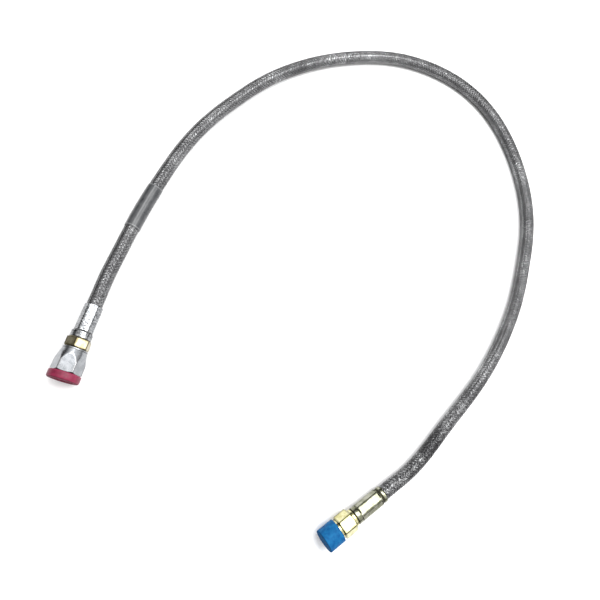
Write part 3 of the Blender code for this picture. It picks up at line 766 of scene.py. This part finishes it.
def braid_bundles(line):
    """The points, faces, UV corners and heights of flat bundles that wind round the hose both ways.

    At a distance s along the hose, bundle i lies at the angle 2 pi (hand * s / lay + i / 12). It meets the
    bundles of the other hand 24 times a lay, and its radius is the middle plus a wave of four crossings,
    which carries it over two and under two of them. Its section is flat with turned-down sides.
    """
    crossings = 2 * BUNDLES / BRAID_LAY
    rows = round(line.length * crossings / 4 * READINGS_A_WEAVE) + 1
    along = np.linspace(0, line.length, rows)[None, :, None]
    hand = np.repeat([1, -1], BUNDLES)[:, None, None]
    bundle = np.tile(np.arange(BUNDLES), 2)[:, None, None]
    side = np.array([-1, -BUNDLE_FLAT, BUNDLE_FLAT, 1])[None, None]
    drop = np.array([BUNDLE_DROP, 0, 0, BUNDLE_DROP])[None, None]
    angle = 2 * pi * (hand * along / BRAID_LAY + bundle / BUNDLES)
    phase = pi / 2 * (2 * bundle + hand * along * crossings - 0.5)
    wave = np.clip(WAVE_STEEPNESS * hand * np.cos(phase), -1, 1)
    helix = np.arctan(2 * pi * BRAID_MIDDLE / BRAID_LAY)
    shift = side * BUNDLE_WIDTH / 2
    distance = np.clip(along - hand * shift * np.sin(helix), 0, line.length)
    angle = angle + shift * np.cos(helix) / BRAID_MIDDLE
    radius = BRAID_MIDDLE + BRAID_CLEARANCE + BRAID_WAVE * wave - drop
    points = line.at(distance, radius, angle).reshape(-1, 3)
    centres = line.at(distance, 0.0, angle).reshape(-1, 3)
    faces = grid_faces(2 * BUNDLES, rows, 4, False, False)
    noise_place = along + NOISE_SHIFT * bundle + hand
    uv = face_uv(np.stack(np.broadcast_arrays((side + 1) / 2, noise_place, angle)[:2], axis=-1))
    face_outwards(points, centres, faces, uv)
    return points, faces, uv, np.broadcast_to(wave, angle.shape).ravel()


def braid_core(line):
    """The points, faces, UV corners and heights of the plain tube below the bundles."""
    rows = round(line.length / CORE_STEP)
    along = np.linspace(0, line.length, rows)[:, None]
    angle = 2 * pi * np.arange(CORE_COLUMNS)[None] / CORE_COLUMNS
    points = line.at(along, CORE_RADIUS, angle).reshape(-1, 3)
    centres = line.at(along, 0.0, angle).reshape(-1, 3)
    faces = grid_faces(1, rows, CORE_COLUMNS, False, True)
    uv = np.zeros((len(faces), 4, 2))
    face_outwards(points, centres, faces, uv)
    return points, faces, uv, np.zeros(len(points))


def hose_braid(line, wires, shade_core):
    """The wire braid and the painted-shade tube below it, as one piece."""
    points, faces, uv, heights = braid_bundles(line)
    core_points, core_faces, core_uv, core_heights = braid_core(line)
    piece = add_piece(
        "hose_braid",
        np.concatenate([points, core_points]),
        np.concatenate([faces, core_faces + len(points)]),
        np.concatenate([uv, core_uv]),
        np.concatenate([heights, core_heights]),
        [wires, shade_core],
        "hose_assembly",
        np.repeat([0, 1], [len(faces), len(core_faces)]),
    )
    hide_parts("hose")
    return piece


def sleeve(line, finish):
    """The shrink sleeve: a thin tube with tapered ends, in which the braid shows as faint swells."""
    inside = HOSE_RADIUS + GAP / 6
    outside = HOSE_RADIUS + GAP + SLEEVE_WALL
    end = SLEEVE_START + SLEEVE_LENGTH
    corners = [
        (SLEEVE_START, inside, 0.05 * MM),
        (SLEEVE_START, outside - GAP, 0.1 * MM),
        (SLEEVE_START + SLEEVE_TAPER, outside, 0.8 * MM),
        (end - SLEEVE_TAPER, outside, 0.8 * MM),
        (end, outside - GAP, 0.1 * MM),
        (end, inside, 0.05 * MM),
    ]

    def swells(distance, angle, radius, edge):
        one = np.cos(2 * pi * BUNDLES * (distance / BRAID_LAY + angle / (2 * pi)))
        two = np.cos(2 * pi * BUNDLES * (distance / BRAID_LAY - angle / (2 * pi)))
        return radius - SLEEVE_SWELL * (radius > inside + GAP) * (1 - one * two) / 2, edge

    piece = turned(
        "sleeve", corners, line, finish, "hose_assembly", [swells],
        columns=SLEEVE_COLUMNS, step=COARSE_STEP,
    )
    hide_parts("marker_sleeve")
    return piece


def plain_mouth():
    """The outer corners of the nut end's ferrule at its mouth."""
    return [(0, RIDGE_RADIUS, 0.4 * MM)]


def rolled_mouth():
    """The outer corners of the flare end's ferrule at its mouth: a rolled lip, and a groove behind it."""
    return [
        (0, LIP_RADIUS, 1.2 * MM),
        (LIP_LENGTH, LIP_RADIUS, 0.8 * MM),
        (LIP_LENGTH + GAP, LIP_GROOVE_RADIUS, 0.8 * MM),
        (FLARE_CRIMP_START - GAP, LIP_GROOVE_RADIUS, 0.8 * MM),
        (FLARE_CRIMP_START, RIDGE_RADIUS, 0.5 * MM),
    ]


def ferrule(end, fitting, mouth, crimp, shade_ring, base, length, finish):
    """A crimped shell: its mouth, the pressed lands (start, end, turn), a ring of painted shade, and an
    uncrimped base.
    """
    neck = FERRULE_BORE - LOCK_GROOVE_DEPTH
    crimp_end = crimp[1]
    corners = [
        (0, FERRULE_BORE, 0.3 * MM),
        *mouth,
        (crimp_end, RIDGE_RADIUS, 0.5 * MM),
        (crimp_end + FERRULE_CHAMFER, base, 0.4 * MM),
        (length, base, 0.6 * MM),
        (length, neck, 0.2 * MM),
        (length - FERRULE_END_WALL, neck, 0.2 * MM),
        (length - FERRULE_END_WALL, FERRULE_BORE, 0.2 * MM),
    ]
    forms = [crimped(*crimp), painted_shade_rings(shade_ring)]
    piece = turned(f"{end}_shell", corners, fitting, finish, "hose_assembly", forms, step=PLAIN_STEP)
    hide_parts(f"{end}_ferrule")


def nipple(length):
    """The outer corners of a nipple, from its tip over the barbs to the groove that locks the ferrule."""
    root = BARB_RADIUS - BARB_DEPTH
    collar_end = length - FERRULE_END_WALL - GAP
    collar_start = collar_end - COLLAR_WIDTH
    pitch = (collar_start - NIPPLE_TIP) / (BARBS + 1)
    corners = [(NIPPLE_TIP, root - BARB_DEPTH / 2, 0.2 * MM)]
    for k in range(1, BARBS + 1):
        barb = NIPPLE_TIP + k * pitch
        corners += [(barb, BARB_RADIUS, 0.05 * MM), (barb, root, 0.05 * MM)]
    groove = FERRULE_BORE - LOCK_GROOVE_DEPTH - GAP
    collar = FERRULE_BORE - GAP
    return corners + [
        (collar_start, root, 0.1 * MM),
        (collar_start, collar, 0.2 * MM),
        (collar_end, collar, 0.2 * MM),
        (collar_end, groove, 0.1 * MM),
        (length + GAP, groove, 0.1 * MM),
    ]


def nut_end_stem(fitting, finish):
    """The nut end's stem: barbed nipple, hexagon, nose with a wire groove, and a hollow seat."""
    corner = corner_radius(NUT_HEX_FLATS)
    rim = NUT_HEX_FLATS / 2 - GAP
    chamfer = hex_chamfer(NUT_HEX_FLATS, rim)
    hex_end = NUT_HEX_START + NUT_HEX_LENGTH
    nose_end = NUT_START + NUT_LENGTH - SEAT_DEPTH_IN_NUT
    wire = NUT_START + WIRE_PLACE
    half_groove = WIRE_RADIUS + GAP
    corners = nipple(NUT_FERRULE_LENGTH) + [
        (NUT_HEX_START, rim, 0.3 * MM),
        (NUT_HEX_START + chamfer, corner, 0.2 * MM),
        (hex_end - chamfer, corner, 0.2 * MM),
        (hex_end, rim, 0.3 * MM),
        (hex_end, NOSE_RADIUS, 0.2 * MM),
        (wire - half_groove, NOSE_RADIUS, 0.1 * MM),
        (wire - half_groove, NOSE_RADIUS - half_groove, 0.5 * MM),
        (wire + half_groove, NOSE_RADIUS - half_groove, 0.5 * MM),
        (wire + half_groove, NOSE_RADIUS, 0.1 * MM),
        (nose_end, NOSE_RADIUS, 0.5 * MM),
        (nose_end, SEAT_RADIUS, 0.2 * MM),
        (nose_end - (SEAT_RADIUS - STEM_BORE) / tan(FLARE_ANGLE), STEM_BORE, 0.4 * MM),
        (NIPPLE_TIP, STEM_BORE, 0.2 * MM),
    ]
    piece = turned(
        "nut_end_turned_stem", corners, fitting, finish, "hose_assembly",
        [milled(NUT_HEX_FLATS, NUT_HEX_TURN, NUT_HEX_START, hex_end)],
        first_angle=NUT_HEX_TURN, step=COARSE_STEP,
    )
    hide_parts("nut_end_stem")


def swivel_nut(fitting, finish):
    """The swivel nut: a round neck that widens in a cone to six flats, and a threaded bore."""
    corner = corner_radius(NUT_FLATS)
    end = NUT_START + NUT_LENGTH
    cone_start = NUT_START + NUT_NECK_LENGTH
    clear_nose = NOSE_RADIUS + GAP
    wire = NUT_START + WIRE_PLACE
    half_groove = WIRE_RADIUS + GAP
    back = NUT_START + NUT_BACK_WALL
    corners = [
        (NUT_START, clear_nose, 0.2 * MM),
        (NUT_START, NUT_NECK_RADIUS, 0.6 * MM),
        (cone_start, NUT_NECK_RADIUS, 0.6 * MM),
        (cone_start + NUT_CONE_LENGTH, corner, 1.2 * MM),
        (end - NUT_MOUTH_CHAMFER * tan(CHAMFER_ANGLE), corner, 0.3 * MM),
        (end, corner - NUT_MOUTH_CHAMFER, 0.3 * MM),
        (end, NUT_THREAD_RADIUS + 3 * GAP, 0.2 * MM),
        (end - 3 * GAP, NUT_THREAD_RADIUS, 0.2 * MM),
        (back, NUT_THREAD_RADIUS, 0.2 * MM),
        (back, clear_nose, 0.2 * MM),
        (wire + half_groove, clear_nose, 0.1 * MM),
        (wire + half_groove, clear_nose + half_groove, 0.4 * MM),
        (wire - half_groove, clear_nose + half_groove, 0.4 * MM),
        (wire - half_groove, clear_nose, 0.1 * MM),
    ]
    piece = turned(
        "threaded_nut", corners, fitting, finish, "nut",
        [
            milled(NUT_FLATS, NUT_TURN, -end, end + FRAME_WIDTH),
            threaded(NUT_THREAD_RADIUS, THREAD_DEPTH, back, end),
        ],
        first_angle=NUT_TURN,
    )
    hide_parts("swivel_nut")


def red_plug(fitting, finish):
    """The moulded plug: a dished head with rounded edges, and a hollow shank that fits the nut's bore."""
    end = PLUG_START + PLUG_LENGTH
    shank = NUT_THREAD_RADIUS - GAP
    inside = shank - PLUG_WALL
    tip = PLUG_START - PLUG_SHANK
    floor = PLUG_START + PLUG_WALL
    corners = [
        (floor, 0, 0),
        (floor, inside, 0.5 * MM),
        (tip, inside, 0.3 * MM),
        (tip, shank, 0.5 * MM),
        (PLUG_START, shank, 0.3 * MM),
        (PLUG_START, PLUG_RADIUS, PLUG_EDGE),
        (end, PLUG_RADIUS, 1.6 * PLUG_EDGE),
        (end, DISH_RADIUS, 0.5 * MM),
        (end - DISH_DEPTH, DISH_RADIUS - DISH_DEPTH, 0.8 * MM),
        (end - DISH_DEPTH, 0, 0),
    ]
    # The head's end face gets a ring of painted shade.
    piece = turned(
        "plug", corners, fitting, finish, "plug", [painted_shade_rings((end, 1.8 * MM))], closed=False,
        columns=ROUND_COLUMNS, step=PLAIN_STEP,
    )
    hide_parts("red_plug")


def flare_end_stem(fitting, finish):
    """The flare end's stem: barbed nipple, grooved collar, hexagon, male thread and 37 degree cone."""
    corner = corner_radius(FLARE_HEX_FLATS)
    front = FLARE_HEX_FLATS / 2 - GAP
    hex_end = FLARE_HEX_START + FLARE_HEX_LENGTH
    ring = COLLAR_START + COLLAR_GROOVE_LENGTH
    lead = THREAD_RADIUS - UNDERCUT_RADIUS
    corners = nipple(FLARE_FERRULE_LENGTH) + [
        (COLLAR_START, COLLAR_GROOVE_RADIUS, 0.5 * MM),
        (ring, COLLAR_GROOVE_RADIUS, 0.5 * MM),
        (ring, COLLAR_RADIUS, 0.4 * MM),
        (FLARE_HEX_START, COLLAR_RADIUS, 1.0 * MM),
        (FLARE_HEX_START, HEX_BACK_RADIUS, 0.3 * MM),
        (FLARE_HEX_START + hex_chamfer(FLARE_HEX_FLATS, HEX_BACK_RADIUS), corner, 0.3 * MM),
        (hex_end - hex_chamfer(FLARE_HEX_FLATS, front), corner, 0.3 * MM),
        (hex_end, front, 0.3 * MM),
        (hex_end, UNDERCUT_RADIUS, 0.3 * MM),
        (CAP_START, UNDERCUT_RADIUS, 0.3 * MM),
        (CAP_START + lead, THREAD_RADIUS, 0.2 * MM),
        (THREAD_END - lead, THREAD_RADIUS, 0.2 * MM),
        (THREAD_END, UNDERCUT_RADIUS, 0.2 * MM),
        (THREAD_END + CONE_STEP_LENGTH, UNDERCUT_RADIUS, 0.3 * MM),
        (FLARE_TIP, CONE_TIP_RADIUS, 0.3 * MM),
        (FLARE_TIP, FLARE_MOUTH_RADIUS, 0.2 * MM),
        (FLARE_TIP - FLARE_MOUTH_DEPTH, FLARE_MOUTH_RADIUS, 0.3 * MM),
        (FLARE_TIP - FLARE_MOUTH_DEPTH - (FLARE_MOUTH_RADIUS - STEM_BORE), STEM_BORE, 0.3 * MM),
        (NIPPLE_TIP, STEM_BORE, 0.2 * MM),
    ]
    # Painted shade rings in the collar's groove and at the hexagon's back.
    piece = turned(
        "flare_end_turned_stem", corners, fitting, finish, "hose_assembly",
        [
            milled(FLARE_HEX_FLATS, FLARE_HEX_TURN, FLARE_HEX_START, hex_end),
            painted_shade_rings((COLLAR_START + COLLAR_GROOVE_LENGTH / 2, 0.9 * MM), (FLARE_HEX_START, 1.0 * MM)),
            threaded(THREAD_RADIUS, -THREAD_DEPTH, CAP_START, THREAD_END),
        ],
        first_angle=FLARE_HEX_TURN, step=COARSE_STEP, fine=(CAP_START + lead, THREAD_END - lead),
    )
    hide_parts("flare_end_stem")


def blue_cap(fitting, finish):
    """The moulded cap: a plain round cup that pushes over the male thread."""
    inside = CAP_RADIUS - CAP_WALL
    corners = [
        (CAP_END, 0, 0),
        (CAP_END, CAP_RADIUS, 1.4 * CAP_EDGE),
        (CAP_START, CAP_RADIUS, 0.5 * MM),
        (CAP_START, inside, 0.4 * MM),
        (CAP_END - CAP_WALL, inside, 0.6 * MM),
        (CAP_END - CAP_WALL, 0, 0),
    ]
    # The cap's end face gets a ring of painted shade.
    piece = turned(
        "cap", corners, fitting, finish, "cap", [painted_shade_rings((CAP_END, 1.2 * MM))], closed=False,
        columns=ROUND_COLUMNS, step=0.6 * MM,
    )
    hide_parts("blue_cap")


def camera():
    """The camera at the photograph's place: it looks at its aim, and its up is square to the X axis."""
    place = Vector(CAMERA_PLACE)
    ahead = (Vector(CAMERA_AIM) - place).normalized()
    up = Vector((1, 0, 0)).cross(ahead).normalized()
    right = ahead.cross(up)
    data = bpy.data.cameras.new("camera")
    data.lens = CAMERA_LENS
    data.sensor_width = SENSOR_WIDTH
    data.clip_start = 0.01
    made = bpy.data.objects.new("camera", data)
    made.matrix_world = Matrix.Translation(place) @ Matrix((right, up, -ahead)).transposed().to_4x4()
    bpy.context.scene.collection.objects.link(made)
    bpy.context.scene.camera = made


def floor():
    """A wide pale floor."""
    finish = Finish("floor", Roughness=0.9, Specular_IOR_Level=0.1)
    colour = finish.ramp(finish.noise(0.5), (0.3, (0.93, 0.93, 0.93)), (0.7, (0.95, 0.95, 0.95)))
    ways = ((-1, -1), (1, -1), (1, 1), (-1, 1))
    corners = [(x * FLOOR_HALF_WIDTH, y * FLOOR_HALF_WIDTH, FLOOR_LEVEL) for x, y in ways]
    mesh = bpy.data.meshes.new("floor")
    mesh.from_pydata(corners, [], [(0, 1, 2, 3)])
    mesh.materials.append(finish.finished(colour))
    made = bpy.data.objects.new("floor", mesh)
    bpy.context.scene.collection.objects.link(made)


def softbox(name, place, aim, width, height, power):
    """A rectangular area light."""
    data = bpy.data.lights.new(name, "AREA")
    data.shape = "RECTANGLE"
    data.size = width
    data.size_y = height
    data.energy = power
    made = bpy.data.objects.new(name, data)
    made.location = place
    made.rotation_euler = (Vector(aim) - Vector(place)).to_track_quat("-Z", "Y").to_euler()
    bpy.context.scene.collection.objects.link(made)


def studio():
    """The softboxes, and a sky that darkens to the left and down, where the camera sees pale grey."""
    world = bpy.data.worlds.new("studio")
    world.use_nodes = True
    nodes = Nodes(world.node_tree)
    way = nodes.node("ShaderNodeTexCoord", {}, {}, "Generated")
    side, height = (nodes.node("ShaderNodeSeparateXYZ", {}, {0: way}, k) for k in (0, 2))
    sky = nodes.ramp(height + side * SKY_LEAN, (0.34, (0.08, 0.08, 0.083)), (0.66, (1.0, 1.0, 1.0)))
    seen = nodes.node("ShaderNodeLightPath", {}, {}, "Is Camera Ray")
    sky = nodes.mix(seen, sky, (0.62, 0.62, 0.62, 1))
    background = nodes.tree.nodes["Background"]
    nodes.put(sky, background.inputs["Color"])
    nodes.put(SKY_STRENGTH, background.inputs["Strength"])
    bpy.context.scene.world = world
    for box in SOFTBOXES:
        softbox(*box)


def hose(line):
    """The braided hose with its sleeve, as one cord that keeps its curve."""
    braid = hose_braid(line, braid_wires(), braid_shade_core())
    wrap = sleeve(line, shrink_sleeve())


def nut_end_pieces(fitting):
    """The nut end in clear zinc, with a hexagon in yellow zinc, and its red plug."""
    # grey and brown are rim tints: painted shade on corners, flats' frames and grooves.
    grey = (0.20, 0.20, 0.205)
    brown = (0.055, 0.045, 0.022)
    speckled = (0.09, 0.093, 0.098), (0.19, 0.196, 0.204), (0.38, 0.388, 0.396)
    clear = (0.25, 0.26, 0.274), (0.29, 0.30, 0.315), (0.33, 0.34, 0.355)
    bronze = (0.33, 0.28, 0.16), (0.42, 0.37, 0.23), (0.55, 0.50, 0.34)
    crimp = (-2 * MM, NUT_CRIMP_LENGTH, NUT_CRIMP_TURN)
    # The ring of painted shade sits where the crimp ends.
    ferrule(
        "nut_end", fitting, plain_mouth(), crimp, (NUT_CRIMP_LENGTH, 1.0 * MM), NUT_BASE_RADIUS,
        NUT_FERRULE_LENGTH, plating("zinc_shell", speckled, grey, 0.12, 1.6 * MM, 0.05 * MM),
    )
    nut_end_stem(fitting, plating("zinc_bronze", bronze, brown, 0.2))
    swivel_nut(fitting, plating("zinc_silver", clear, grey, 0.16))
    red_plug(fitting, moulding("plug_red", (0.14, 0.006, 0.028), (0.22, 0.014, 0.05), 0.40, 0.35))


def flare_end_pieces(fitting):
    """The flare end in yellow zinc, olive on the ferrule, and its blue cap."""
    # dark_olive is the rim tint: painted shade on corners, flats' frames and grooves.
    dark_olive = (0.055, 0.052, 0.022)
    straw = (0.42, 0.39, 0.18), (0.53, 0.50, 0.27), (0.63, 0.61, 0.38)
    drab = (0.15, 0.155, 0.10), (0.21, 0.213, 0.155), (0.31, 0.31, 0.25)
    crimp = (FLARE_CRIMP_START, FLARE_CRIMP_START + FLARE_CRIMP_LENGTH, FLARE_CRIMP_TURN)
    # The ring of painted shade sits in the lip's groove.
    ferrule(
        "flare_end", fitting, rolled_mouth(), crimp, (LIP_LENGTH + LIP_GROOVE_LENGTH / 2, 1.5 * MM),
        FLARE_BASE_RADIUS, FLARE_FERRULE_LENGTH, plating("zinc_olive", drab, dark_olive, 0.12),
    )
    flare_end_stem(fitting, plating("zinc_gold", straw, dark_olive, 0.10))
    blue_cap(fitting, moulding("cap_blue", (0.003, 0.07, 0.21), (0.010, 0.13, 0.31), 0.5, 0.08))


def dress_hidden_solids():
    """Gives the solids of the CAD that stay as they are their finishes."""
    wires = clamped_wires()
    tube = liner_tube()
    finishes = {
        "nut_end_braid": wires,
        "nut_end_liner": tube,
        "flare_end_braid": wires,
        "flare_end_liner": tube,
        "retaining_wire": drawn_wire(),
    }
    for node, finish in finishes.items():
        materials = frame["nodes"][node].data.materials
        materials.clear()
        materials.append(finish)


def main():
    camera()
    joints = {joint["name"]: joint for joint in frame["joints"]}
    nut_end = Fitting(joints["nut_swivel"]["pos_m"], joints["nut_swivel"]["axis"])
    flare_end = Fitting(FLARE_END_MOUTH, joints["cap_pull"]["axis"])
    hose(HoseLine(nut_end, flare_end))
    nut_end_pieces(nut_end)
    flare_end_pieces(flare_end)
    dress_hidden_solids()
    floor()
    studio()
    bpy.context.scene.view_settings.view_transform = "Standard"


main()
